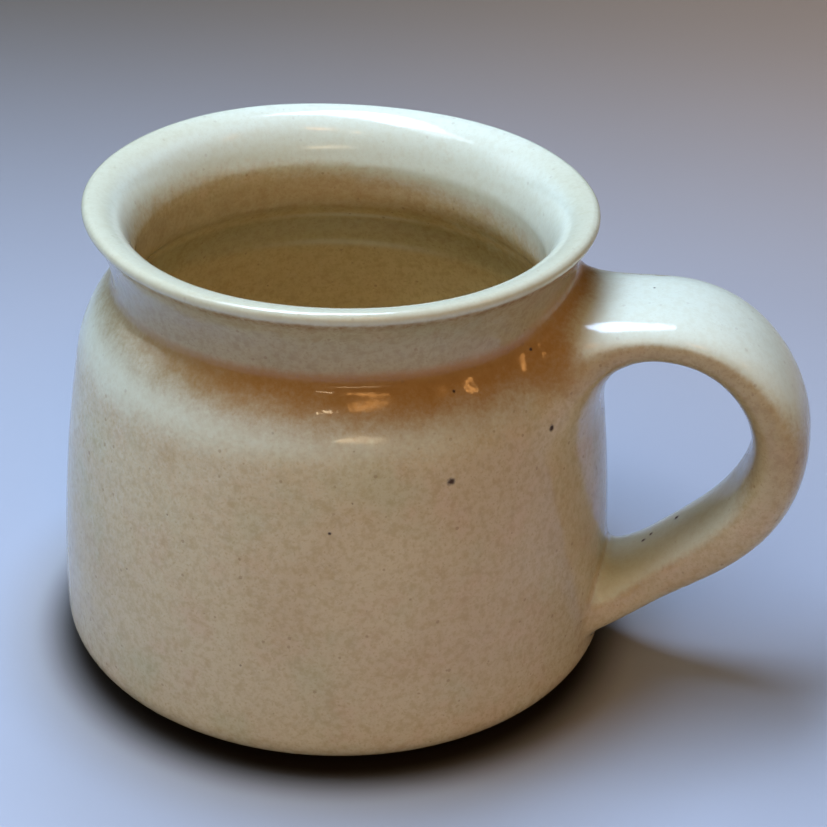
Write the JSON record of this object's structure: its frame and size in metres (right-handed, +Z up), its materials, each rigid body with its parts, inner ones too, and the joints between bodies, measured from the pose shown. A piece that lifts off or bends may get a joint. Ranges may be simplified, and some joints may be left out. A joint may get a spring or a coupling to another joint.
{
  "type": "stoneware mug",
  "caption": "Squat hand-thrown stoneware mug with a flared collar, a narrow shoulder, a rounded heel and one wide pulled strap handle.",
  "frame": {"origin": "centre of the foot ring's resting face, on the mug's turning axis", "axes": "+Z up along the turning axis, +X from the axis out through the handle"},
  "size_m": [0.1391, 0.104, 0.0895],
  "materials": {
    "bare_clay": "matt, iron-speckled stoneware, fired bare",
    "liner_glaze": "glossy cream glaze, browner where it is thick",
    "outer_glaze": "glossy cream glaze with iron specks, amber where it pools"
  },
  "bodies": {
    "root": {"thrown_body": "bare_clay", "pulled_handle": "bare_clay", "upper_luting": "bare_clay", "lower_luting": "bare_clay", "liner_glaze": "liner_glaze", "outer_glaze": "outer_glaze"}
  },
  "joints": []
}
